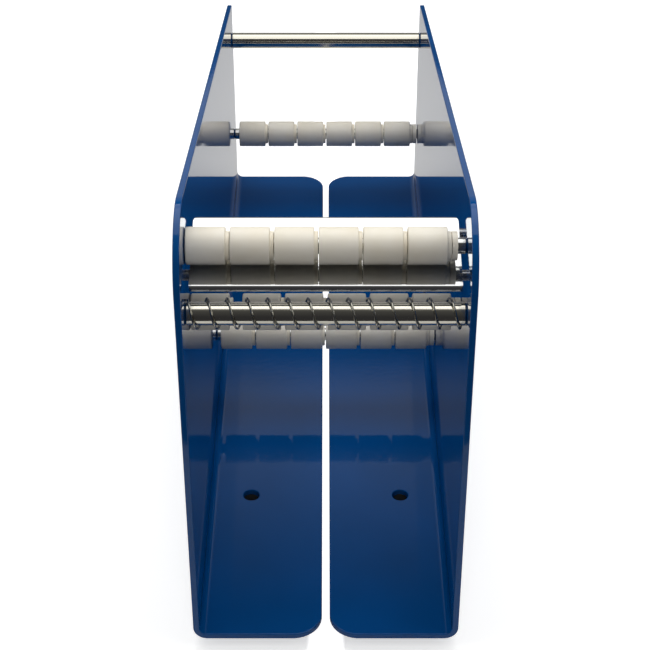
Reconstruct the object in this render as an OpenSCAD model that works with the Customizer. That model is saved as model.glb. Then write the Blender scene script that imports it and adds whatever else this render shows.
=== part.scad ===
// Manual label dispenser: two bent sheet sides, a peel plate, a coil-wound label rod
// and four rows of one-inch rollers on fixed shafts.
// Frame: X to the right, Y to the rear, Z up. The origin is under the middle of the base.
// Places along the machine are given from the front edge of the side frames.

/* [Side frames] */
// Length from the front edge to the rear edge
base_len = 585; // [575:1:640]
// Thickness of the bent sheet
sheet_t = 4; // [3:0.1:4.5]
// Inside radius of the bend between side plate and floor
bend_r = 5; // [3:0.5:8]
// Height of the vertical rear edge
rear_h = 174; // [168:1:190]
// Slope of the top edge, falling to the rear, in degrees
top_slope = 13.4; // [12:0.1:15]
// Radius of the nose at the front of the top edge
nose_r = 40; // [25:1:45]
// Radius of the rear top corner
rear_corner_r = 3; // [1:0.5:10]
// Slot between the two floor halves
floor_slot = 5; // [3:0.5:10]
// Radius of the floor corners beside the slot
floor_corner_r = 19; // [8:1:30]

/* [Rubber feet] */
// Diameter of the round feet stuck under the floor
foot_d = 20; // [15:1:26]
// Height of the feet
foot_h = 6; // [4:0.5:10]
// Distance of the feet's centres from the front and rear edges
foot_inset_y = 34; // [25:1:80]
// Distance between the feet's centres across the machine
foot_span_x = 118; // [60:1:124]
// Round on the lower edge of the feet
foot_edge_r = 1.5; // [0.5:0.1:2]

/* [Bench bolts] */
// Diameter of the bolt holes in the floor
bolt_hole_d = 11; // [6:0.5:13]
// Distance across the machine between the bolt holes
bolt_span_x = 105; // [70:1:125]
// Distance of the bolt holes from the front and rear edges
bolt_inset_y = 137; // [60:1:200]

/* [Rollers] */
// Outer diameter of every roller
roller_d = 22; // [18:0.5:23]
// Width of a roller's tread
tread_w = 22.9; // [18:0.1:26]
// Diameter of the hub that spaces a roller from the next
hub_d = 17; // [13:0.5:17.5]
// Length of the hub
hub_w = 2.2; // [1:0.1:4]
// Bevel on the edges of the tread
tread_bevel = 0.6; // [0.2:0.1:1.2]
// Running gap between neighbouring rollers
side_gap = 0.3; // [0.2:0.1:0.5]
// Running gap all round between a roller and its shaft
bore_gap = 0.05; // [0.03:0.01:0.08]
// Total side play of a row between the side plates
end_play = 6.2; // [6:0.1:12]

/* [Shafts and rods] */
// Diameter of the four roller shafts
shaft_d = 9.5; // [8:0.5:11]
// Diameter of the label rod
label_rod_d = 13.5; // [11:0.5:14]
// Diameter of the rear tie rod
tie_rod_d = 13.5; // [10:0.5:16]
// Bevel on the ends of shafts and rods
rod_bevel = 0.8; // [0.3:0.1:1.2]
// Length of the collar at the right-hand end of a row
collar_w = 3.2; // [2:0.1:5]
// Wall of the collar round its shaft
collar_wall = 3.7; // [2:0.1:4]
// Slip fit all round between a collar and its shaft
collar_fit = 0.03; // [0.01:0.01:0.05]

/* [Places of the rods and shafts] */
// Peel roller shaft, distance from the front edge
peel_y = 46; // [42:0.5:54]
// Peel roller shaft, depth below the sharp corner that the nose rounds off
peel_down = 43.7; // [40:0.1:45.5]
// Liner roller shaft, distance from the front edge
liner_y = 58; // [54:0.5:70]
// Liner roller shaft, depth below the nose corner
liner_down = 98; // [95:0.5:110]
// Label rod, distance from the front edge
label_y = 26.5; // [22:0.5:32]
// Label rod, depth below the nose corner
label_down = 77.6; // [75.6:0.5:84.1]
// Front cradle shaft, distance from the front edge
front_cradle_y = 256; // [220:1:280]
// Rear cradle shaft, distance from the rear edge
rear_cradle_inset = 20; // [16:1:60]
// Both cradle shafts, height above the underside of the floor
cradle_up = 59; // [45:1:80]
// Rear tie rod, distance from the rear edge
tie_inset = 15; // [12:0.5:25]
// Rear tie rod, depth below the rear top corner
tie_down = 26.5; // [20:0.5:40]

/* [Where the loose rollers stand] */
// Side play to the left of the peel rollers
peel_left = 0.4; // [0.4:0.1:4]
// Side play shared out between the peel rollers
peel_spread = 0.5; // [0:0.1:1.5]
// Side play to the left of the first liner roller, which has slid away from the others
liner_left = 0.4; // [0.4:0.1:3]
// Side play to the right of the other liner rollers
liner_right = 0.4; // [0.4:0.1:3]
// Side play to the left of the front cradle rollers
front_cradle_left = 3.4; // [0.4:0.1:3.5]
// Side play shared out between the front cradle rollers
front_cradle_spread = 2.2; // [0:0.1:2.2]
// Side play to the left of the rear cradle rollers
rear_cradle_left = 4.4; // [0.4:0.1:4.6]
// Side play shared out between the rear cradle rollers
rear_cradle_spread = 1.2; // [0:0.1:1.2]

/* [Peel plate] */
// Angle at which the plate falls to the front, in degrees
plate_lean = 13.4; // [11:0.1:15]
// Thickness, which its rounded front and rear edges follow
plate_t = 4.8; // [4.6:0.1:6]
// Depth from front edge to rear edge
plate_depth = 58.5; // [50:0.5:62]
// Reach of the front edge ahead of the peel rollers' line of contact
plate_reach = 21.8; // [12:0.1:22.5]
// Clear gap over the plate under the peel rollers, for the label web
web_gap = 0.9; // [0.3:0.1:1.5]
// Gap between each end of the plate and the side plate, filled by the spacers
plate_end_gap = 2.2; // [1.5:0.1:4]
// Radius of the plate's rear corners, seen from above
plate_rear_r = 5; // [3:0.5:10]
// Radius of the plate's front corners, seen from above
plate_front_r = 2; // [1:0.5:4]
// Distance of the front pair of plate screws from the front edge
plate_screw_front = 12; // [8:0.5:18]
// Distance of the rear pair of plate screws from the rear edge
plate_screw_rear = 13; // [9:0.5:20]

/* [Label coil] */
// Diameter of the wire
wire_d = 1.3; // [1:0.1:1.8]
// Gap all round between the label rod and the coil
coil_gap = 1.35; // [0.6:0.05:1.4]
// Distance from one turn to the next
coil_pitch = 12; // [8:0.5:16]
// Gap between the end of the coil and the side plate
coil_end_gap = 0.2; // [0.1:0.05:0.3]
// Angle round the rod at which the wire starts, from the rear upwards
coil_start = 83; // [0:1:359]

/* [Screws] */
// Thread diameter of the rod screws
rod_screw_d = 5; // [4:0.5:5]
// Head diameter of the rod screws
rod_head_d = 9.4; // [7:0.1:9.6]
// Length of the rod screws over the head
rod_screw_len = 16; // [10:1:25]
// Thread diameter of the plate screws
plate_screw_d = 3; // [2.5:0.5:3]
// Head diameter of the plate screws
plate_head_d = 5.8; // [5:0.1:6.4]
// Length of the plate screws over the head
plate_screw_len = 14; // [10:1:20]
// Outer diameter of the plate spacers
spacer_d = 6.4; // [5:0.1:7]
// Depth of a head below the outer face of the side plate
head_sink = 0.1; // [0:0.05:0.2]
// Gap all round between a screw and its hole
screw_gap = 0.05; // [0.03:0.01:0.1]
// Depth of a tapped hole beyond the tip of its screw
tap_spare = 2; // [1:0.5:4]

/* [Hidden] */
ROWS = ["peel", "liner", "front_cradle", "rear_cradle"];
ROLLERS = 6;
$fn = 96;

// Small run-out that makes one cut pass cleanly through another face
over = 1;

// Widths
roller_pitch = tread_w + hub_w + side_gap;
row_w = ROLLERS * roller_pitch + collar_w;
inside_w = row_w + end_play;
half_in = inside_w / 2;
half_out = half_in + sheet_t;
liner_jump = end_play - liner_left - liner_right;

// Height of the sharp corner that the nose rounds off, over the underside of the floor
nose_corner_h = rear_h + base_len * tan(top_slope);

// Axes of the rods and shafts, as [y, z]
front = -base_len / 2;
rear = base_len / 2;
nose_z = foot_h + nose_corner_h;
peel_at = [front + peel_y, nose_z - peel_down];
liner_at = [front + liner_y, nose_z - liner_down];
label_at = [front + label_y, nose_z - label_down];
front_cradle_at = [front + front_cradle_y, foot_h + cradle_up];
rear_cradle_at = [rear - rear_cradle_inset, foot_h + cradle_up];
tie_at = [rear - tie_inset, foot_h + rear_h - tie_down];
ROD_PLACES = [peel_at, liner_at, label_at, front_cradle_at, rear_cradle_at, tie_at];

// Peel plate: its middle plane lies this far under the peel shaft, square to the plate
plate_drop = roller_d / 2 + web_gap + plate_t / 2;
plate_w = inside_w - 2 * plate_end_gap;
plate_tap_depth = plate_screw_len + head_sink + tap_spare - sheet_t - plate_end_gap;

// Point [y, z] on the plate's middle plane, a distance back from its front edge;
// the plate falls forward where the top edge of the sides falls to the rear
function plate_point(run) =
    peel_at
        + plate_drop * [sin(plate_lean), -cos(plate_lean)]
        + (run - plate_reach) * [cos(plate_lean), sin(plate_lean)];
PLATE_SCREW_PLACES = [plate_point(plate_screw_front), plate_point(plate_depth - plate_screw_rear)];

// Label coil
coil_r = label_rod_d / 2 + coil_gap + wire_d / 2;
coil_run = inside_w - 2 * coil_end_gap - 2 * wire_d;
coil_turn_rings = 8;
coil_sides = 6;
coil_steps = round(coil_run / coil_pitch * coil_turn_rings);

// ---------------------------------------------------------------- helpers

function unit(v) = v / norm(v);

// What a radius takes off a corner whose edges leave it in the directions a and b
module corner_waste(corner, a, b, r) {
    half = acos(a * b) / 2;
    reach = r / tan(half);
    centre = corner + unit(a + b) * r / sin(half);
    run_out = 1.2;
    difference() {
        polygon([
            for (p = [centre, corner + reach * a, corner, corner + reach * b])
                centre + run_out * (p - centre)
        ]);
        translate(centre)
            circle(r);
    }
}

// Polygon with outward corners, each rounded to its own radius, or left sharp at 0
module rounded_polygon(points, radii) {
    count = len(points);
    difference() {
        polygon(points);
        for (i = [0:count - 1])
            if (radii[i] > 0)
                corner_waste(
                    points[i],
                    unit(points[(i + 1) % count] - points[i]),
                    unit(points[(i + count - 1) % count] - points[i]),
                    radii[i]
                );
    }
}

function rectangle(left, low, right, high) = [[left, low], [right, low], [right, high], [left, high]];

// Turns a shape drawn along +Z so that it runs along +X, standing at x on an axis [y, z]
module along_x(x, place) {
    translate([x, place[0], place[1]])
        rotate([90, 0, 90])
            children();
}

// ------------------------------------------------------------ side frames

// Section of the right-hand half: floor, bend and side plate, over the feet
module bent_section() {
    tall = nose_corner_h + over;
    difference() {
        rounded_polygon(rectangle(floor_slot / 2, 0, half_out, tall), [0, bend_r + sheet_t, 0, 0]);
        rounded_polygon(rectangle(-over, sheet_t, half_in, tall + over), [0, bend_r, 0, 0]);
    }
}

// Outline of the side plate: y from the front edge, z from the underside of the floor
module side_outline() {
    rounded_polygon(
        [[0, -over], [base_len, -over], [base_len, rear_h], [0, nose_corner_h]],
        [0, 0, rear_corner_r, nose_r]
    );
}

// Outline of the right-hand half seen from above, rounded at the two corners by the slot
module floor_outline() {
    rounded_polygon(
        rectangle(floor_slot / 2, front, half_out + over, rear),
        [floor_corner_r, 0, 0, floor_corner_r]
    );
}

// Countersunk screw hole through the right-hand side plate, seen from outside
module countersunk_hole(d, head_d, place) {
    seat_r = head_d / 2 + screw_gap;
    along_x(half_in - over, place)
        cylinder(h = sheet_t + 2 * over, r = d / 2 + screw_gap);
    along_x(half_out - head_sink - (head_d - d) / 2, place)
        cylinder(h = (head_d - d) / 2, r1 = d / 2 + screw_gap, r2 = seat_r);
    along_x(half_out - head_sink - 0.001, place)
        cylinder(h = head_sink + over, r = seat_r);
}

module right_half() {
    difference() {
        translate([0, 0, foot_h])
            intersection() {
                translate([0, rear + over, 0])
                    rotate([90, 0, 0])
                        linear_extrude(base_len + 2 * over)
                            bent_section();
                along_x(0, [front, 0])
                    linear_extrude(half_out + over)
                        side_outline();
                translate([0, 0, -over])
                    linear_extrude(nose_corner_h + 2 * over)
                        floor_outline();
            }
        for (place = ROD_PLACES)
            countersunk_hole(rod_screw_d, rod_head_d, place);
        for (place = PLATE_SCREW_PLACES)
            countersunk_hole(plate_screw_d, plate_head_d, place);
        for (end = [-1, 1])
            translate([bolt_span_x / 2, end * (rear - bolt_inset_y), foot_h - over])
                cylinder(h = sheet_t + 2 * over, d = bolt_hole_d);
    }
}

module right_side_frame() {
    color("#0f4a9c")
        right_half();
}

module left_side_frame() {
    color("#0f4a9c")
        mirror([1, 0, 0])
            right_half();
}

module rubber_feet() {
    color("#1c1c1c")
        for (side = [-1, 1])
            for (end = [-1, 1])
                translate([side * foot_span_x / 2, end * (rear - foot_inset_y), 0])
                    rotate_extrude()
                        rounded_polygon(rectangle(0, 0, foot_d / 2, foot_h), [0, foot_edge_r, 0, 0]);
}

// ------------------------------------------------------------- peel plate

module peel_plate() {
    color("#c9cdd1")
        difference() {
            translate([0, plate_point(0)[0], plate_point(0)[1]])
                rotate([plate_lean, 0, 0])
                    intersection() {
                        translate([-plate_w / 2, 0, 0])
                            rotate([90, 0, 90])
                                linear_extrude(plate_w)
                                    rounded_edge_section();
                        translate([0, 0, -plate_t])
                            linear_extrude(2 * plate_t)
                                rounded_polygon(
                                    rectangle(-plate_w / 2, 0, plate_w / 2, plate_depth),
                                    [plate_front_r, plate_front_r, plate_rear_r, plate_rear_r]
                                );
                    }
            for (side = [0, 1])
                for (place = PLATE_SCREW_PLACES)
                    mirror([side, 0, 0])
                        along_x(plate_w / 2 - plate_tap_depth, place)
                            cylinder(h = plate_tap_depth + over, r = plate_screw_d / 2 + screw_gap);
        }
}

// Section of the plate with both its long edges fully rounded
module rounded_edge_section() {
    translate([plate_t / 2, -plate_t / 2])
        square([plate_depth - plate_t, plate_t]);
    for (y = [plate_t / 2, plate_depth - plate_t / 2])
        translate([y, 0])
            circle(d = plate_t);
}

module plate_spacers() {
    color("#8f959b")
        for (side = [0, 1])
            for (place = PLATE_SCREW_PLACES)
                mirror([side, 0, 0])
                    along_x(plate_w / 2, place)
                        difference() {
                            cylinder(h = plate_end_gap, d = spacer_d);
                            translate([0, 0, -over])
                                cylinder(h = plate_end_gap + 2 * over, r = plate_screw_d / 2 + screw_gap);
                        }
}

// -------------------------------------------------------- rods and shafts

// Rod between the side plates, bevelled and tapped at both ends
module tapped_rod(d, place) {
    tap_depth = rod_screw_len + head_sink + tap_spare - sheet_t;
    along_x(-half_in, place)
        difference() {
            rotate_extrude()
                polygon([
                    [0, 0],
                    [d / 2 - rod_bevel, 0],
                    [d / 2, rod_bevel],
                    [d / 2, inside_w - rod_bevel],
                    [d / 2 - rod_bevel, inside_w],
                    [0, inside_w]
                ]);
            for (z = [-over, inside_w - tap_depth])
                translate([0, 0, z])
                    cylinder(h = tap_depth + over, r = rod_screw_d / 2 + screw_gap);
        }
}

module shaft(place) {
    color("#b9bcc0")
        tapped_rod(shaft_d, place);
}

module label_rod() {
    color("#c4c0b0")
        tapped_rod(label_rod_d, label_at);
}

module rear_tie_rod() {
    color("#c4c0b0")
        tapped_rod(tie_rod_d, tie_at);
}

// ---------------------------------------------------------------- rollers

// One roller: bevelled tread, and a hub on its right-hand side
module roller(x, place) {
    tread_r = roller_d / 2;
    bore_r = shaft_d / 2 + bore_gap;
    color("#e6e4dc")
        along_x(x, place)
            rotate_extrude()
                polygon([
                    [bore_r, 0],
                    [tread_r - tread_bevel, 0],
                    [tread_r, tread_bevel],
                    [tread_r, tread_w - tread_bevel],
                    [tread_r - tread_bevel, tread_w],
                    [hub_d / 2, tread_w],
                    [hub_d / 2, tread_w + hub_w],
                    [bore_r, tread_w + hub_w]
                ]);
}

// Side play to the left of roller i, which the rollers before it have passed on
function play_before(row, i) =
    row == "peel" ? peel_left + peel_spread * (i - 1) / (ROLLERS - 1) :
    row == "liner" ? liner_left + (i > 1 ? liner_jump : 0) :
    row == "front_cradle" ? front_cradle_left + front_cradle_spread * (i - 1) / (ROLLERS - 1) :
    rear_cradle_left + rear_cradle_spread * (i - 1) / (ROLLERS - 1);

// Left face of roller i; the collar stands where a roller after the last would
function roller_x(row, i) =
    play_before(row, min(i, ROLLERS)) + (i - 1) * roller_pitch - half_in;

function row_at(row) =
    row == "peel" ? peel_at :
    row == "liner" ? liner_at :
    row == "front_cradle" ? front_cradle_at :
    rear_cradle_at;

// Collar that keeps the last hub of a row off the side plate
module collar(row) {
    color("#dcdad2")
        along_x(roller_x(row, ROLLERS + 1), row_at(row))
            difference() {
                cylinder(h = collar_w, r = shaft_d / 2 + collar_wall);
                translate([0, 0, -over])
                    cylinder(h = collar_w + 2 * over, r = shaft_d / 2 + collar_fit);
            }
}

// ------------------------------------------------------------- label coil

// Angle round the rod after a number of steps along the coil
function coil_angle(step) = coil_start + 360 * step / coil_turn_rings;

function round_rod(a) = [0, cos(a), sin(a)];

// Point on the middle line of the wire; steps -1 and coil_steps + 1 are its straight ends
function coil_point(step) =
    let (
        turning = min(max(step, 0), coil_steps),
        x = -coil_run / 2 + coil_run * turning / coil_steps + (step - turning) * wire_d
    )
    [x, label_at[0], label_at[1]] + coil_r * round_rod(coil_angle(turning));

function coil_ring(step) =
    let (
        here = coil_point(step),
        along = unit(unit(coil_point(step + 1) - here) + unit(here - coil_point(step - 1))),
        from_rod = round_rod(coil_angle(min(max(step, 0), coil_steps))),
        out = unit(from_rod - (from_rod * along) * along),
        across = cross(along, out)
    )
    [for (k = [0:coil_sides - 1])
        here + wire_d / 2 * (cos(360 * k / coil_sides) * out + sin(360 * k / coil_sides) * across)];

module label_coil() {
    rings = [for (step = [-1:coil_steps + 1]) coil_ring(step)];
    count = len(rings);
    points = [for (ring = rings) each ring];
    walls = [for (i = [0:count - 2]) for (k = [0:coil_sides - 1])
        let (
            a = i * coil_sides + k,
            b = i * coil_sides + (k + 1) % coil_sides,
            c = a + coil_sides,
            d = b + coil_sides
        )
        each [[a, c, b], [b, c, d]]];
    first_cap = [for (k = [1:coil_sides - 2]) [0, k, k + 1]];
    last = (count - 1) * coil_sides;
    last_cap = [for (k = [1:coil_sides - 2]) [last, last + k + 1, last + k]];
    color("#8a8a86")
        polyhedron(points, concat(walls, first_cap, last_cap));
}

// Least gap between two turns of the coil, measured between points half a turn apart or more
coil_least_gap = min([
    for (i = [0:coil_steps])
        for (j = [i + coil_turn_rings / 2:1:coil_steps])
            norm(coil_point(i) - coil_point(j))
]) - wire_d;
echo(coil_least_gap = coil_least_gap);

// ----------------------------------------------------------------- screws

// Countersunk screws with a hexagon socket, through the right-hand side plate
module countersunk_screws(d, head_d, length, places) {
    socket = d * 0.6;
    for (place = places)
        along_x(half_out - head_sink - length, place)
            difference() {
                rotate_extrude()
                    polygon([
                        [0, 0],
                        [d / 2, 0],
                        [d / 2, length - (head_d - d) / 2],
                        [head_d / 2, length],
                        [0, length]
                    ]);
                translate([0, 0, length - socket / 2])
                    cylinder(h = socket, d = socket / cos(30), $fn = 6);
            }
}

module right_rod_screws() {
    color("#4a4c50")
        countersunk_screws(rod_screw_d, rod_head_d, rod_screw_len, ROD_PLACES);
}

module left_rod_screws() {
    color("#4a4c50")
        mirror([1, 0, 0])
            countersunk_screws(rod_screw_d, rod_head_d, rod_screw_len, ROD_PLACES);
}

module right_plate_screws() {
    color("#4a4c50")
        countersunk_screws(plate_screw_d, plate_head_d, plate_screw_len, PLATE_SCREW_PLACES);
}

module left_plate_screws() {
    color("#4a4c50")
        mirror([1, 0, 0])
            countersunk_screws(plate_screw_d, plate_head_d, plate_screw_len, PLATE_SCREW_PLACES);
}

// ------------------------------------------------------------------ parts

left_side_frame();
right_side_frame();
rubber_feet();
peel_plate();
plate_spacers();
label_rod();
label_coil();
rear_tie_rod();
for (row = ROWS) {
    shaft(row_at(row));
    collar(row);
    for (i = [1:ROLLERS])
        roller(roller_x(row, i), row_at(row));
}
left_rod_screws();
right_rod_screws();
left_plate_screws();
right_plate_screws();
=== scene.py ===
from math import cos, pi, radians, sin, tan

import bmesh
import bpy
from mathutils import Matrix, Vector


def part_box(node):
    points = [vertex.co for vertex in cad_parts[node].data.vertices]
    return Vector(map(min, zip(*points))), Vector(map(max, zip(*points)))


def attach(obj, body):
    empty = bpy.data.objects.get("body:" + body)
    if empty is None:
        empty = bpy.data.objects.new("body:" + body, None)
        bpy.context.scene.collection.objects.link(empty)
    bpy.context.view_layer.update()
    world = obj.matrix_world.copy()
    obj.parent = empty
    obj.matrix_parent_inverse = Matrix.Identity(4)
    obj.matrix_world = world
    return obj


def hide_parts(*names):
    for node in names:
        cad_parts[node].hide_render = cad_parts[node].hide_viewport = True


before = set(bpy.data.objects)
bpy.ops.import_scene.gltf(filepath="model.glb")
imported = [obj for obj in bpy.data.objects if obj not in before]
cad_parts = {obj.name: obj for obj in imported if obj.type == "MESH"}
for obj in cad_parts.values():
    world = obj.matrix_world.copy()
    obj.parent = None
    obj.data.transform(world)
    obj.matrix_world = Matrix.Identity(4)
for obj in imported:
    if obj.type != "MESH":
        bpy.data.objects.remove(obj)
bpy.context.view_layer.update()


# ---------------------------------------------------------------- the camera
# The photograph is taken from above the bench in front of the machine, square
# to it and 35 degrees down, with a short telephoto lens.
camera_data = bpy.data.cameras.new("photo_camera")
camera_data.lens = 96.1
camera_data.sensor_width = 36.0
camera_data.shift_x = -0.0012
camera_data.clip_start = 0.05
camera_pitch_down = 34.95
camera = bpy.data.objects.new("photo_camera", camera_data)
camera.location = (0.0, -1.0912, 0.8104)
camera.rotation_euler = (radians(90 - camera_pitch_down), 0.0, 0.0)
bpy.context.scene.collection.objects.link(camera)
bpy.context.scene.camera = camera
bpy.context.scene.view_settings.view_transform = "Standard"


# ------------------------------------------------------- the bench and light
# A pale bench top whose front edge lies 0.2 m ahead of the machine, a broad
# soft box overhead, fills behind, in front and at both sides, and a dark
# studio on the camera's side, which the bright rods show as a dark band.
def srgb(code):
    """Linear colour of an sRGB hex value."""
    parts = [int(code[i:i + 2], 16) / 255 for i in (1, 3, 5)]
    linear = [c / 12.92 if c <= 0.04045 else ((c + 0.055) / 1.055) ** 2.4 for c in parts]
    return (*linear, 1.0)


def add_node(tree, kind, settings=None, inputs=None):
    """One shader node with its settings, and its sockets' values or links."""
    made = tree.nodes.new(kind)
    for key, value in (settings or {}).items():
        setattr(made, key, value)
    for key, value in (inputs or {}).items():
        if isinstance(value, bpy.types.NodeSocket):
            tree.links.new(value, made.inputs[key])
        else:
            made.inputs[key].default_value = value
    return made


def set_ramp(ramp, stops):
    """Stops of a colour ramp, as (place, colour) from left to right."""
    elements = ramp.color_ramp.elements
    for _ in stops[2:]:
        elements.new(0.5)
    for element, (place, colour) in zip(elements, stops):
        element.position = place
        element.color = colour if len(colour) == 4 else (*colour, 1.0)


def new_material(name):
    """An empty material and its node tree."""
    made = bpy.data.materials.new(name)
    made.use_nodes = True
    made.node_tree.nodes.clear()
    return made, made.node_tree


def only(piece):
    """Makes one piece the only one selected, and active."""
    bpy.ops.object.select_all(action="DESELECT")
    piece.select_set(True)
    bpy.context.view_layer.objects.active = piece


def settle(piece, name):
    """Names a new piece and moves its place, turn and scale into its mesh."""
    only(piece)
    bpy.ops.object.transform_apply(location=True, rotation=True, scale=True)
    piece.name = name
    piece.data.name = name


bench_front, bench_rear, bench_side, bench_z = -0.50, 3.2, 2.4, -0.0002
bpy.ops.object.select_all(action="DESELECT")
bpy.ops.mesh.primitive_plane_add(
    size=1.0, location=(0.0, (bench_front + bench_rear) / 2, bench_z),
)
bench = bpy.context.active_object
bench.scale = (2 * bench_side, bench_rear - bench_front, 1.0)
settle(bench, "bench_top")
laminate, tree = new_material("pale_bench_laminate")
place = add_node(tree, "ShaderNodeTexCoord").outputs["Object"]
# Painted shade: its colour is darkened under the floor sheets, beside the slot, between the sides and the
# ends, so that the bolt holes show dark
spot = add_node(tree, "ShaderNodeSeparateXYZ", inputs={0: place})
side_way = add_node(tree, "ShaderNodeMath", {"operation": "ABSOLUTE"}, {0: spot.outputs["X"]})
long_way = add_node(tree, "ShaderNodeMath", {"operation": "ABSOLUTE"}, {0: spot.outputs["Y"]})
past_slot = add_node(tree, "ShaderNodeMapRange", inputs={
    "Value": side_way.outputs[0], "From Min": 0.010, "From Max": 0.016})
inside_sides = add_node(tree, "ShaderNodeMapRange", inputs={
    "Value": side_way.outputs[0], "From Min": 0.072, "From Max": 0.080, "To Min": 1.0, "To Max": 0.0})
inside_ends = add_node(tree, "ShaderNodeMapRange", inputs={
    "Value": long_way.outputs[0], "From Min": 0.255, "From Max": 0.275, "To Min": 1.0, "To Max": 0.0})
painted_shade_mask = add_node(tree, "ShaderNodeMath", {"operation": "MULTIPLY"}, {
    0: past_slot.outputs[0], 1: inside_sides.outputs[0]})
painted_shade_mask = add_node(tree, "ShaderNodeMath", {"operation": "MULTIPLY"}, {
    0: painted_shade_mask.outputs[0], 1: inside_ends.outputs[0]})
shade = add_node(tree, "ShaderNodeMapRange", inputs={
    "Value": painted_shade_mask.outputs[0], "To Min": 0.73, "To Max": 0.06})
bench_light = add_node(tree, "ShaderNodeBsdfDiffuse", inputs={"Color": shade.outputs[0]})
# It glows white for the camera alone: most far off and in the slot, and not under the sheets, where the
# missing glow is painted shade too
ray = add_node(tree, "ShaderNodeLightPath")
seen = add_node(tree, "ShaderNodeMath", {"operation": "MAXIMUM"}, {
    0: ray.outputs["Is Camera Ray"], 1: ray.outputs["Is Transmission Ray"]})
from_middle = add_node(tree, "ShaderNodeVectorMath", {"operation": "LENGTH"}, {0: place})
far_glow = add_node(tree, "ShaderNodeMapRange", inputs={
    "Value": from_middle.outputs["Value"], "From Min": 0.40, "From Max": 1.0, "To Min": 0.55, "To Max": 1.0})
slot_glow = add_node(tree, "ShaderNodeMapRange", inputs={
    "Value": past_slot.outputs[0], "To Min": 0.95, "To Max": 0.0})
glow = add_node(tree, "ShaderNodeMath", {"operation": "MAXIMUM"}, {
    0: far_glow.outputs[0], 1: slot_glow.outputs[0]})
glow = add_node(tree, "ShaderNodeMath", {"operation": "MULTIPLY"}, {0: seen.outputs[0], 1: glow.outputs[0]})
# The glow is taken away under the sheets, as painted shade
open_way = add_node(tree, "ShaderNodeMath", {"operation": "SUBTRACT"}, {0: 1.0, 1: painted_shade_mask.outputs[0]})
glow = add_node(tree, "ShaderNodeMath", {"operation": "MULTIPLY"}, {
    0: glow.outputs[0], 1: open_way.outputs[0]})
bench_glow = add_node(tree, "ShaderNodeEmission", inputs={
    "Color": srgb("#ffffff"), "Strength": glow.outputs[0]})
bench_both = add_node(tree, "ShaderNodeAddShader", inputs={
    0: bench_light.outputs[0], 1: bench_glow.outputs[0]})
add_node(tree, "ShaderNodeOutputMaterial", inputs={"Surface": bench_both.outputs[0]})
bench.data.materials.append(laminate)

world = bpy.data.worlds.new("soft_studio")
bpy.context.scene.world = world
world.use_nodes = True
tree = world.node_tree
tree.nodes.clear()
direction = add_node(tree, "ShaderNodeSeparateXYZ", inputs={
    0: add_node(tree, "ShaderNodeTexCoord").outputs["Generated"]})
to_front = add_node(tree, "ShaderNodeMath", {"operation": "MULTIPLY"}, {0: direction.outputs["Y"], 1: -1.0})
height_angle = add_node(tree, "ShaderNodeMath", {"operation": "ARCTAN2"}, {
    0: direction.outputs["Z"], 1: to_front.outputs[0]})
half_turn = add_node(tree, "ShaderNodeMath", {"operation": "DIVIDE"}, {0: height_angle.outputs[0], 1: pi})
# 0 is the horizon behind the camera, 0.5 straight up and 1 the horizon behind the machine
studio = add_node(tree, "ShaderNodeValToRGB", inputs={0: half_turn.outputs[0]})
set_ramp(studio, [
    # The dark studio behind the camera
    (0.0, (0.03, 0.03, 0.033)),
    (0.30, (0.06, 0.06, 0.06)),
    # The lit ceiling, from overhead to half-way down at the back
    (0.52, (0.20, 0.20, 0.20)),
    (0.58, (0.75, 0.75, 0.73)),
    (0.71, (0.75, 0.75, 0.73)),
    # A gap, then a lit wall, brightest at its sharp lower edge, that the floor's front half mirrors
    (0.735, (0.02, 0.02, 0.02)),
    (0.754, (0.02, 0.02, 0.02)),
    (0.7595, (0.09, 0.09, 0.09)),
    (0.767, (0.18, 0.18, 0.17)),
    (0.7775, (0.38, 0.38, 0.36)),
    (0.792, (0.62, 0.62, 0.59)),
    (0.7961, (0.66, 0.66, 0.63)),
    (0.7976, (0.01, 0.01, 0.01)),
    # The dim far end of the room
    (0.824, (0.01, 0.01, 0.01)),
    (0.832, (0.14, 0.14, 0.14)),
    (0.86, (0.28, 0.28, 0.28)),
    (1.0, (0.3, 0.3, 0.3)),
])
ray = add_node(tree, "ShaderNodeLightPath")
seen = add_node(tree, "ShaderNodeMath", {"operation": "MAXIMUM"}, {
    0: ray.outputs["Is Camera Ray"], 1: ray.outputs["Is Transmission Ray"]})
studio_light = add_node(tree, "ShaderNodeBackground", inputs={
    "Color": studio.outputs["Color"], "Strength": 1.0})
backdrop = add_node(tree, "ShaderNodeBackground", inputs={"Color": srgb("#ffffff"), "Strength": 1.0})
world_mix = add_node(tree, "ShaderNodeMixShader", inputs={
    0: seen.outputs[0], 1: studio_light.outputs[0], 2: backdrop.outputs[0]})
add_node(tree, "ShaderNodeOutputWorld", inputs={"Surface": world_mix.outputs[0]})


def area_light(name, place, aim, size, power, shows=False):
    """A soft box that shines at a point, and may show in reflections."""
    data = bpy.data.lights.new(name, "AREA")
    data.shape = "RECTANGLE"
    data.size, data.size_y = size
    data.energy = power
    lamp = bpy.data.objects.new(name, data)
    lamp.location = place
    lamp.rotation_euler = (Vector(aim) - Vector(place)).to_track_quat("-Z", "Y").to_euler()
    lamp.visible_camera = False
    lamp.visible_glossy = shows
    bpy.context.scene.collection.objects.link(lamp)


area_light("overhead_softbox", (0.0, 0.08, 0.95), (0.0, 0.08, 0.0), (1.6, 1.0), 5.5, shows=True)
area_light("rear_fill", (0.0, 0.60, 1.4), (0.0, 0.05, 0.1), (0.9, 0.9), 6.0)
area_light("front_fill", (0.0, -1.5, 1.05), (0.0, -0.25, 0.2), (0.5, 0.5), 5.0)
for side in (-1, 1):
    area_light("side_softbox", (side * 1.3, -0.7, 1.1), (0.0, 0.0, 0.1), (0.35, 0.35), 1.6, shows=True)


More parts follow.
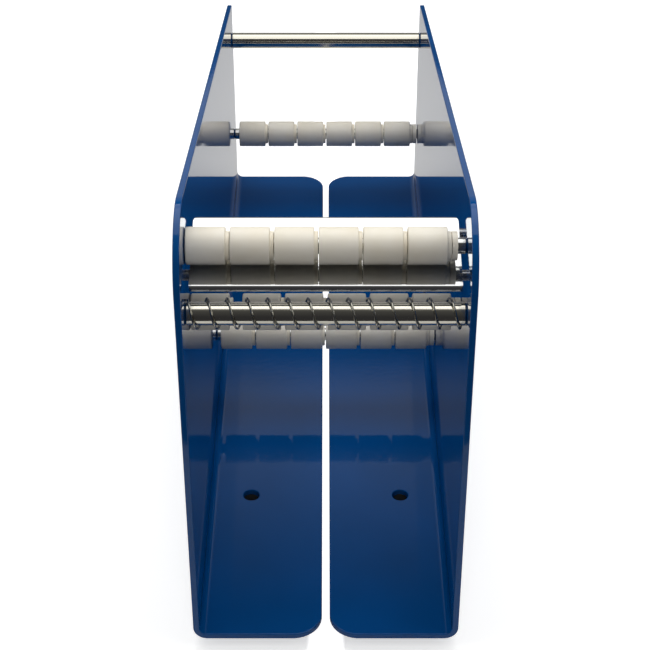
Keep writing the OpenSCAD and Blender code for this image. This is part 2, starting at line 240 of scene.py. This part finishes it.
# ------------------------------------------------------------ side frames
# Each half is one 4 mm steel sheet, laser cut, bent once into side and floor,
# and powder coated a deep glossy blue that rounds the cut edges and has a
# faint orange peel. The right-hand half is modelled, and mirrored.
def pick(piece, kind, test):
    """In edit mode, selects only the faces or edges that pass a test of middle and direction."""
    bpy.ops.mesh.select_mode(type=kind)
    bpy.ops.mesh.select_all(action="DESELECT")
    shape = bmesh.from_edit_mesh(piece.data)
    if kind == "FACE":
        for face in shape.faces:
            face.select_set(test(face.calc_center_median(), face.normal))
    else:
        for edge in shape.edges:
            low, high = (vert.co for vert in edge.verts)
            edge.select_set(test((low + high) / 2, (high - low).normalized()))
    shape.select_flush_mode()
    bmesh.update_edit_mesh(piece.data)


def trim(point, normal):
    """In edit mode, cuts off all that lies beyond a plane."""
    bpy.ops.mesh.select_all(action="SELECT")
    bpy.ops.mesh.bisect(plane_co=point, plane_no=normal, clear_outer=True)


def use_modifier(piece, kind, settings):
    """Adds a modifier with its settings and applies it."""
    only(piece)
    made = piece.modifiers.new(kind.lower(), kind)
    for key, value in settings.items():
        setattr(made, key, value)
    bpy.ops.object.modifier_apply(modifier=made.name)


def smooth(piece, sharp_angle):
    """Merges doubles, turns the faces outward and shades all smooth but the sharp edges."""
    only(piece)
    bpy.ops.object.mode_set(mode="EDIT")
    bpy.ops.mesh.select_all(action="SELECT")
    bpy.ops.mesh.remove_doubles(threshold=1e-6)
    bpy.ops.mesh.normals_make_consistent(inside=False)
    bpy.ops.object.mode_set(mode="OBJECT")
    bpy.ops.object.shade_smooth_by_angle(angle=radians(sharp_angle))


sheet, bend_outside, edge_round = 0.004, 0.009, 0.0007
floor_z, outer_x, slot_x = 0.006, 0.0849, 0.0025
front_y, rear_y, rear_top_z, slope = -0.2925, 0.2925, 0.180, radians(13.4)
nose_r, rear_corner_r, floor_corner_r = 0.040, 0.003, 0.019
nose_top_z = rear_top_z + (rear_y - front_y) * tan(slope)
bpy.ops.object.select_all(action="DESELECT")
bpy.ops.mesh.primitive_cube_add(
    size=1.0, location=((outer_x + slot_x) / 2, 0.0, (floor_z + nose_top_z) / 2),
    scale=(outer_x - slot_x, rear_y - front_y, nose_top_z - floor_z),
)
right_half = bpy.context.active_object
settle(right_half, "right_side_sheet")
bpy.ops.object.mode_set(mode="EDIT")
# Only the outer side and the underside are kept, with a bend between them
pick(right_half, "FACE", lambda mid, out: out.z > -0.5 and out.x < 0.5)
bpy.ops.mesh.delete(type="FACE")
pick(right_half, "EDGE", lambda mid, along: (
    mid.x > outer_x - 1e-4 and mid.z < floor_z + 1e-4 and abs(along.y) > 0.9))
bpy.ops.mesh.bevel(offset=bend_outside, segments=10, affect="EDGES")
trim((0.0, rear_y, rear_top_z), (0.0, sin(slope), cos(slope)))
# Nose and rear top corner, each rounded by a fan of cuts from its upright edge to the sloping top
for middle_y, radius, start, cuts in (
    (front_y + nose_r, nose_r, pi, 20), (rear_y - rear_corner_r, rear_corner_r, 0.0, 6),
):
    middle_z = nose_top_z - (middle_y - front_y) * tan(slope) - radius / cos(slope)
    for i in range(1, cuts):
        turn = start + (pi / 2 - slope - start) * i / cuts
        trim(
            (0.0, middle_y + radius * cos(turn), middle_z + radius * sin(turn)),
            (0.0, cos(turn), sin(turn)),
        )
# Floor corners beside the slot
corner_x, corner_cuts = slot_x + floor_corner_r, 10
for end, middle_y in ((-1, front_y + floor_corner_r), (1, rear_y - floor_corner_r)):
    for i in range(1, corner_cuts):
        turn = pi / 2 * i / corner_cuts
        trim(
            (corner_x - floor_corner_r * cos(turn), middle_y + end * floor_corner_r * sin(turn), 0.0),
            (-cos(turn), end * sin(turn), 0.0),
        )
bpy.ops.object.mode_set(mode="OBJECT")
use_modifier(right_half, "SOLIDIFY", {"thickness": sheet, "offset": -1.0, "use_even_offset": True})
use_modifier(right_half, "BEVEL", {
    "width": edge_round, "segments": 3, "limit_method": "ANGLE", "angle_limit": radians(45)})


def cut_holes(piece, places, axis, hole_r, depth, steps):
    """Cuts round holes in a piece: a straight part along an axis, then (length, end radius) steps."""
    cutters = []
    for place in places:
        bpy.ops.object.select_all(action="DESELECT")
        bpy.ops.mesh.primitive_cylinder_add(
            vertices=48, radius=hole_r, depth=depth, location=place,
            rotation=(0.0, pi / 2, 0.0) if axis.x else (0.0, 0.0, 0.0),
        )
        cutter = bpy.context.active_object
        settle(cutter, "cutter")
        bpy.ops.object.mode_set(mode="EDIT")
        pick(cutter, "FACE", lambda mid, out: out.dot(axis) > 0.9)
        wide = hole_r
        end = Vector(place) + axis * depth / 2
        for length, radius in steps:
            bpy.ops.mesh.extrude_region_move(TRANSFORM_OT_translate={"value": axis * length})
            end = end + axis * length
            bpy.ops.transform.resize(value=(radius / wide,) * 3, center_override=end)
            wide = radius
        bpy.ops.object.mode_set(mode="OBJECT")
        cutters.append(cutter)
    only(cutters[0])
    for cutter in cutters:
        cutter.select_set(True)
    bpy.ops.object.join()
    use_modifier(piece, "BOOLEAN", {"object": cutters[0], "operation": "DIFFERENCE", "solver": "EXACT"})
    bpy.data.objects.remove(cutters[0])


# Each cutter's widest part starts a hair from the sheet's face and ends well clear of it
hair, clear = 0.0001, 0.003


def countersink(places, screw_r, depth, head_r, head_h):
    """Countersunk holes through the right-hand side, at (y, z) places."""
    middle_x = outer_x - hair - head_h - depth / 2
    cut_holes(
        right_half, [(middle_x, y, z) for y, z in places], Vector((1, 0, 0)), screw_r, depth,
        [(head_h, head_r), (clear, head_r)],
    )


# Bolt holes through the floor, with a small chamfer at the top, and countersunk screw holes
bolt_x, bolt_y, bolt_r, bolt_rim, bolt_depth = 0.0525, 0.1555, 0.0055, 0.0006, 0.008
bolt_z = floor_z + sheet + hair - bolt_rim - bolt_depth / 2
cut_holes(
    right_half, [(bolt_x, end * bolt_y, bolt_z) for end in (-1, 1)], Vector((0, 0, 1)), bolt_r, bolt_depth,
    [(bolt_rim, bolt_r + bolt_rim), (clear, bolt_r + bolt_rim)],
)
rod_middles = []
for node in (
    "peel_shaft", "liner_shaft", "label_rod", "front_cradle_shaft", "rear_cradle_shaft", "rear_tie_rod",
):
    low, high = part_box(node)
    rod_middles.append(((low.y + high.y) / 2, (low.z + high.z) / 2))
countersink(rod_middles, 0.00255, 0.0103, head_r=0.00475, head_h=0.0022)
# The spacers stand at the plate's lower front and upper rear
low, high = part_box("plate_spacers")
spacer_r = 0.0032
plate_screws = [
    (low.y + spacer_r, low.z + spacer_r),
    (high.y - spacer_r, high.z - spacer_r),
]
countersink(plate_screws, 0.00155, 0.0107, head_r=0.00295, head_h=0.0014)

only(right_half)
bpy.ops.object.duplicate()
left_half = bpy.context.active_object
bpy.ops.transform.resize(value=(-1.0, 1.0, 1.0), center_override=(0.0, 0.0, 0.0))
settle(left_half, "left_side_sheet")


powder, tree = new_material("blue_powder_coated_steel")
place = add_node(tree, "ShaderNodeTexCoord").outputs["Object"]
# Orange peel: soft waves about 3 mm across and a finer ripple under 1 mm
waves = add_node(tree, "ShaderNodeTexNoise", inputs={"Vector": place, "Scale": 330.0, "Detail": 1.0})
ripple = add_node(tree, "ShaderNodeTexNoise", inputs={"Vector": place, "Scale": 1400.0, "Detail": 1.0})
peel = add_node(tree, "ShaderNodeMath", {"operation": "MULTIPLY_ADD"}, {
    0: ripple.outputs[0], 1: 0.3, 2: waves.outputs[0]})
bumps = add_node(tree, "ShaderNodeBump", inputs={
    "Strength": 0.03, "Distance": 0.0004, "Height": peel.outputs[0]})
# The colour drifts very slightly over a hand's breadth where the coat is thicker
drift = add_node(tree, "ShaderNodeTexNoise", inputs={"Vector": place, "Scale": 14.0, "Detail": 2.0})
colour = add_node(tree, "ShaderNodeValToRGB", inputs={0: drift.outputs[0]})
set_ramp(colour, [(0.3, srgb("#02447f")), (0.7, srgb("#034989"))])
rough = add_node(tree, "ShaderNodeMapRange", inputs={
    "Value": waves.outputs[0], "To Min": 0.02, "To Max": 0.05})
skin = add_node(tree, "ShaderNodeBsdfPrincipled", inputs={
    "Base Color": colour.outputs["Color"], "Roughness": rough.outputs[0], "IOR": 1.45,
    "Normal": bumps.outputs[0]})
add_node(tree, "ShaderNodeOutputMaterial", inputs={"Surface": skin.outputs[0]})

for half, node in ((right_half, "right_side_frame"), (left_half, "left_side_frame")):
    smooth(half, 35)
    use_modifier(half, "WEIGHTED_NORMAL", {"keep_sharp": True})
    half.data.materials.clear()
    half.data.materials.append(powder)
    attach(half, "chassis")
    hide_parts(node)


# ------------------------------------------------------------ rubber feet
# Four round stick-on feet of moulded black rubber under the floor. Moulded
# rubber is matt, with a fine bloom that greys it in patches.
def dress(node, material):
    """Puts one material on a CAD node."""
    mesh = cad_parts[node].data
    mesh.materials.clear()
    mesh.materials.append(material)


rubber, tree = new_material("moulded_black_rubber")
place = add_node(tree, "ShaderNodeTexCoord").outputs["Object"]
# Bloom in patches of a few millimetres over a grain of 0.5 mm
bloom = add_node(tree, "ShaderNodeTexNoise", inputs={"Vector": place, "Scale": 250.0, "Detail": 3.0})
colour = add_node(tree, "ShaderNodeValToRGB", inputs={0: bloom.outputs[0]})
set_ramp(colour, [(0.35, srgb("#1b1b1b")), (0.75, srgb("#262625"))])
grain = add_node(tree, "ShaderNodeTexNoise", inputs={"Vector": place, "Scale": 2000.0})
bumps = add_node(tree, "ShaderNodeBump", inputs={
    "Strength": 0.3, "Distance": 0.0001, "Height": grain.outputs[0]})
skin = add_node(tree, "ShaderNodeBsdfPrincipled", inputs={
    "Base Color": colour.outputs["Color"], "Roughness": 0.8, "IOR": 1.52, "Normal": bumps.outputs[0]})
add_node(tree, "ShaderNodeOutputMaterial", inputs={"Surface": skin.outputs[0]})
dress("rubber_feet", rubber)


# ---------------------------------------------------------- rods and shafts
# Four ground bars of bright plated steel carry the rollers; two thicker ones
# are the label rod and the tie between the sides at the rear.
def bright_bar(name, colour, rough_low, rough_high):
    """Bright round metal with the fine marks of grinding, turning or drawing."""
    made, tree = new_material(name)
    place = add_node(tree, "ShaderNodeTexCoord").outputs["Object"]
    # Rings round the bar, and lines along the coiled wire, drawn as coarse as 0.4 mm apart to show
    squeeze = add_node(tree, "ShaderNodeMapping", inputs={"Vector": place, "Scale": (2500.0, 20.0, 20.0)})
    rings = add_node(tree, "ShaderNodeTexNoise", inputs={
        "Vector": squeeze.outputs[0], "Scale": 1.0, "Detail": 2.0})
    rough = add_node(tree, "ShaderNodeMapRange", inputs={
        "Value": rings.outputs[0], "From Min": 0.3, "From Max": 0.7, "To Min": rough_low,
        "To Max": rough_high})
    bumps = add_node(tree, "ShaderNodeBump", inputs={
        "Strength": 0.05, "Distance": 0.0001, "Height": rings.outputs[0]})
    skin = add_node(tree, "ShaderNodeBsdfPrincipled", inputs={
        "Base Color": srgb(colour), "Metallic": 1.0, "Roughness": rough.outputs[0],
        "Normal": bumps.outputs[0]})
    add_node(tree, "ShaderNodeOutputMaterial", inputs={"Surface": skin.outputs[0]})
    return made


nickel = bright_bar("nickel_plated_bar", "#e6e2d4", 0.06, 0.12)
chrome = bright_bar("chrome_plated_bar", "#d8d8d6", 0.05, 0.09)
rows = ("peel", "liner", "front_cradle", "rear_cradle")
for node in ("label_rod", "rear_tie_rod"):
    dress(node, nickel)
for row in rows:
    dress(row + "_shaft", chrome)


# ------------------------------------------------------------- peel plate
# A strip of stainless steel with rounded front and rear edges, polished over
# its whole width, that the label web bends round at its front. Turned steel
# spacers hold it clear of the sides.
polished, tree = new_material("polished_stainless_steel")
place = add_node(tree, "ShaderNodeTexCoord").outputs["Object"]
# Polishing lines run along the plate, across the machine, drawn about 0.3 mm apart
squeeze = add_node(tree, "ShaderNodeMapping", inputs={"Vector": place, "Scale": (30.0, 3300.0, 3300.0)})
lines = add_node(tree, "ShaderNodeTexNoise", inputs={
    "Vector": squeeze.outputs[0], "Scale": 1.0, "Detail": 2.0})
rough = add_node(tree, "ShaderNodeMapRange", inputs={
    "Value": lines.outputs[0], "From Min": 0.3, "From Max": 0.7, "To Min": 0.05, "To Max": 0.10})
skin = add_node(tree, "ShaderNodeBsdfPrincipled", inputs={
    "Base Color": srgb("#e6e7e6"), "Metallic": 1.0, "Roughness": rough.outputs[0]})
add_node(tree, "ShaderNodeOutputMaterial", inputs={"Surface": skin.outputs[0]})
dress("peel_plate", polished)
turned = bright_bar("turned_steel", "#a9abae", 0.18, 0.28)
dress("plate_spacers", turned)


# ---------------------------------------------------------------- rollers
# Rollers moulded in off-white acetal, about one inch long with the hub that
# spaces the next one. Their treads have softly rounded edges, and their bores
# run loose on the shafts. The collars are cut from the same plastic.
tread_r, tread_w, hub_r, hub_w, bore_r = 0.011, 0.0229, 0.0085, 0.0022, 0.0048
tread_round, hub_round, bore_round, rollers_in_row = 0.0008, 0.0004, 0.0003, 6
hub_end = tread_w + hub_w
bpy.ops.object.select_all(action="DESELECT")
bpy.ops.mesh.primitive_cylinder_add(
    vertices=72, radius=tread_r, depth=tread_w, location=(tread_w / 2, 0.0, 0.0),
    rotation=(0.0, pi / 2, 0.0),
)
roller = bpy.context.active_object
settle(roller, "one_inch_roller")
bpy.ops.object.mode_set(mode="EDIT")
pick(roller, "FACE", lambda mid, out: out.x > 0.9)
bpy.ops.mesh.inset(thickness=tread_r - hub_r)
bpy.ops.mesh.extrude_region_move(TRANSFORM_OT_translate={"value": (hub_w, 0.0, 0.0)})
bpy.ops.mesh.inset(thickness=hub_r - bore_r)
bpy.ops.mesh.delete(type="FACE")
pick(roller, "FACE", lambda mid, out: out.x < -0.9)
bpy.ops.mesh.inset(thickness=tread_r - bore_r)
bpy.ops.mesh.delete(type="FACE")


def on_ring(radius, x):
    """Test for the edges of one circle round the X axis."""
    return lambda mid, along: (
        abs(mid.x - x) < 1e-5 and abs(along.x) < 0.1 and abs(mid.yz.length - radius) < 1e-4)


# The bore's wall joins the two openings, and then every rim is rounded
near_bore, far_bore = on_ring(bore_r, 0.0), on_ring(bore_r, hub_end)
pick(roller, "EDGE", lambda mid, along: near_bore(mid, along) or far_bore(mid, along))
bpy.ops.mesh.bridge_edge_loops()
for radius, x, round_r, segments in (
    (tread_r, 0.0, tread_round, 4), (tread_r, tread_w, tread_round, 4), (hub_r, hub_end, hub_round, 2),
    (bore_r, 0.0, bore_round, 1), (bore_r, hub_end, bore_round, 1),
):
    pick(roller, "EDGE", on_ring(radius, x))
    bpy.ops.mesh.bevel(offset=round_r, segments=segments, affect="EDGES")
bpy.ops.object.mode_set(mode="OBJECT")
smooth(roller, 35)

acetal, tree = new_material("moulded_off_white_acetal")
place = add_node(tree, "ShaderNodeTexCoord").outputs["Object"]
# A grain of 0.7 mm from the mould, and clouds of colour about 17 mm across
grain = add_node(tree, "ShaderNodeTexNoise", inputs={"Vector": place, "Scale": 1500.0, "Detail": 2.0})
cloud = add_node(tree, "ShaderNodeTexNoise", inputs={"Vector": place, "Scale": 60.0, "Detail": 2.0})
colour = add_node(tree, "ShaderNodeValToRGB", inputs={0: cloud.outputs[0]})
set_ramp(colour, [(0.3, srgb("#ebe3d1")), (0.7, srgb("#f0eadc"))])
bumps = add_node(tree, "ShaderNodeBump", inputs={
    "Strength": 0.08, "Distance": 0.0002, "Height": grain.outputs[0]})
skin = add_node(tree, "ShaderNodeBsdfPrincipled", inputs={
    "Base Color": colour.outputs["Color"], "Roughness": 0.42, "IOR": 1.48, "Normal": bumps.outputs[0]})
add_node(tree, "ShaderNodeOutputMaterial", inputs={"Surface": skin.outputs[0]})
roller.data.materials.append(acetal)

for row in rows:
    dress(row + "_collar", acetal)
    for i in range(1, rollers_in_row + 1):
        node = f"{row}_roller_{i}"
        low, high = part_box(node)
        only(roller)
        bpy.ops.object.duplicate()
        copy = bpy.context.active_object
        copy.location = (low.x, (low.y + high.y) / 2, (low.z + high.z) / 2)
        settle(copy, f"{row}_moulded_roller_{i}")
        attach(copy, node + "_body")
        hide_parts(node)
bpy.data.objects.remove(roller)


# ------------------------------------------------------------- label coil
# Hard-drawn spring wire of 1.3 mm wound loosely round the label rod, left
# handed in 13.6 turns, so that a label hangs on it without sticking.
wire_r, coil_r, coil_half = 0.00065, 0.00875, 0.0794
coil_turns, coil_start, steps_per_turn = 13.6, radians(83), 32
low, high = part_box("label_rod")
label_y, label_z = (low.y + high.y) / 2, (low.z + high.z) / 2
bpy.ops.object.select_all(action="DESELECT")
bpy.ops.mesh.primitive_circle_add(vertices=10, radius=wire_r, fill_type="NOTHING")
coil = bpy.context.active_object
# The ring stands across the wire: turned to the coil's start and tilted by its lead
lead = 2 * coil_half / coil_turns / (2 * pi * coil_r)
coil.rotation_euler = Vector((lead, -sin(coil_start), cos(coil_start))).to_track_quat("Z", "Y").to_euler()
coil.location = (-coil_half, coil_r * cos(coil_start), coil_r * sin(coil_start))
settle(coil, "label_rod_coil")
coil_steps = round(coil_turns * steps_per_turn)
use_modifier(coil, "SCREW", {
    "axis": "X", "angle": 2 * pi * coil_turns, "screw_offset": 2 * coil_half,
    "steps": coil_steps, "render_steps": coil_steps, "use_merge_vertices": False,
})
# Each end turns along the rod for one wire's thickness and is closed
bpy.ops.object.mode_set(mode="EDIT")
for end in (-1, 1):
    bpy.ops.mesh.select_mode(type="EDGE")
    bpy.ops.mesh.select_all(action="DESELECT")
    shape = bmesh.from_edit_mesh(coil.data)
    for edge in shape.edges:
        middle = (edge.verts[0].co + edge.verts[1].co) / 2
        edge.select_set(edge.is_boundary and middle.x * end > 0)
    bmesh.update_edit_mesh(coil.data)
    bpy.ops.mesh.extrude_region_move(TRANSFORM_OT_translate={"value": (end * 2 * wire_r, 0.0, 0.0)})
    bpy.ops.mesh.edge_face_add()
bpy.ops.mesh.select_all(action="SELECT")
bpy.ops.transform.translate(value=(0.0, label_y, label_z))
bpy.ops.object.mode_set(mode="OBJECT")
smooth(coil, 50)
spring = bright_bar("drawn_spring_wire", "#b9b6ab", 0.2, 0.3)
coil.data.materials.clear()
coil.data.materials.append(spring)
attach(coil, "chassis")
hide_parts("label_coil")


# ------------------------------------------------------------------ screws
# Countersunk socket screws, black oxide on steel: a thin dark skin that
# wears to grey on the head and holds a film of oil.
oxide, tree = new_material("black_oxide_steel")
place = add_node(tree, "ShaderNodeTexCoord").outputs["Object"]
# Wear in specks of about 1 mm, greyer and rougher than the rest
wear = add_node(tree, "ShaderNodeTexNoise", inputs={"Vector": place, "Scale": 900.0, "Detail": 4.0})
colour = add_node(tree, "ShaderNodeValToRGB", inputs={0: wear.outputs[0]})
set_ramp(colour, [(0.45, srgb("#2b2b2d")), (0.8, srgb("#55565a"))])
rough = add_node(tree, "ShaderNodeMapRange", inputs={"Value": wear.outputs[0], "To Min": 0.3, "To Max": 0.5})
skin = add_node(tree, "ShaderNodeBsdfPrincipled", inputs={
    "Base Color": colour.outputs["Color"], "Metallic": 1.0, "Roughness": rough.outputs[0]})
add_node(tree, "ShaderNodeOutputMaterial", inputs={"Surface": skin.outputs[0]})
for side in ("left", "right"):
    for what in ("rod", "plate"):
        dress(f"{side}_{what}_screws", oxide)
